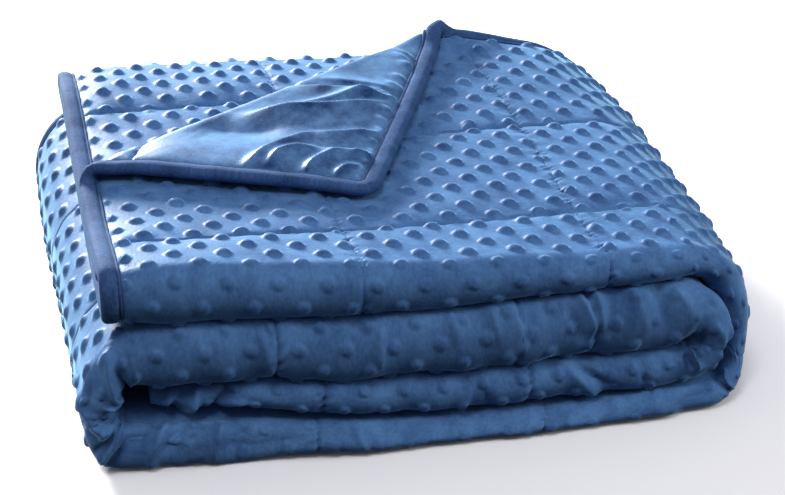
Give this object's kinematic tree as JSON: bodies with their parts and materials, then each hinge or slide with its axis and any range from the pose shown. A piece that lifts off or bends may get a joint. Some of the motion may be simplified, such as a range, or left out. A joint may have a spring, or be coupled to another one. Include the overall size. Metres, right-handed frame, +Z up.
{
  "type": "folded quilted throw blanket",
  "caption": "Soft quilted throw blanket with a dotted plush face, smooth reverse and bound edge, folded in thirds and rolled flat, with one corner turned back.",
  "frame": {"origin": "middle of the folded blanket in plan, on the surface it lies on", "axes": "+X towards the closed side of the roll, away from the bound end of the top layer; -Y towards the rolled front; +Z up"},
  "size_m": [0.3586, 0.332, 0.1226],
  "materials": {
    "dotted_plush": "short soft pile with raised round dots, steel blue",
    "binding_plush": "smooth soft pile, slightly greyer blue, sewn flat"
  },
  "bodies": {
    "root": {"quilted_body": "dotted_plush", "edge_binding": "binding_plush"}
  },
  "joints": []
}
